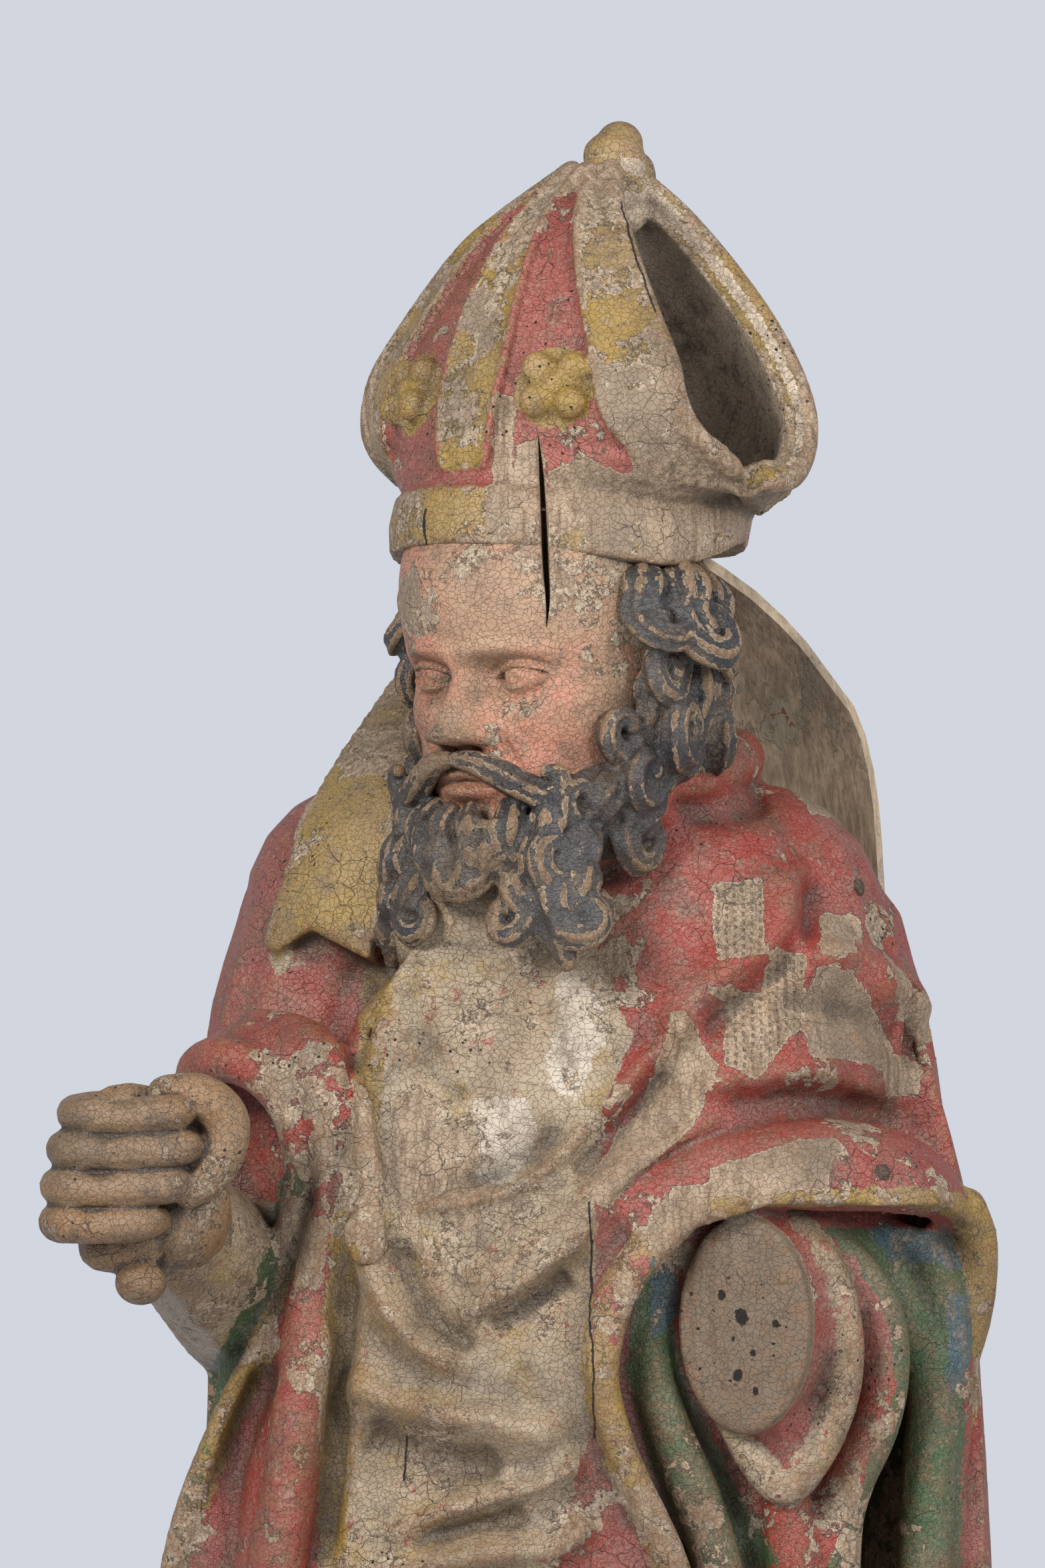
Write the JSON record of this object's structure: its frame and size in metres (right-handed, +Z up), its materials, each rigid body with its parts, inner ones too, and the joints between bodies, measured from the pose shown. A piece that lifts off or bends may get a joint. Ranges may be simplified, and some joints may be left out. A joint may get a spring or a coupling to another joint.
{
  "type": "carved wooden statue",
  "caption": "Carved and painted wooden statue of a standing bishop saint in a mitre, its right fist closed and its left forearm lost, on a low plinth.",
  "frame": {"origin": "centre of the plinth's underside", "axes": "+Z up the figure; -Y the way the plinth and the feet face; +X to the viewer's right, on the figure's own left"},
  "size_m": [0.5627, 0.4573, 1.7969],
  "materials": {
    "painted_wood": "red, ochre and green oil paint over gesso on carved wood, flaked, cracked and varnished",
    "painted_flesh": "worn ochre and flesh-coloured paint over carved wood",
    "bare_wood": "raw grey-beige wood with gouge marks and a little paint left",
    "iron": "dark hand-forged iron, rusted",
    "stained_wood": "dark stained wood, matt"
  },
  "bodies": {
    "root": {"figure": "painted_wood", "right_hand": "painted_flesh", "left_lappet": "bare_wood", "nail_shoulder": "iron", "nail_sleeve": "iron", "plinth": "stained_wood"}
  },
  "joints": []
}
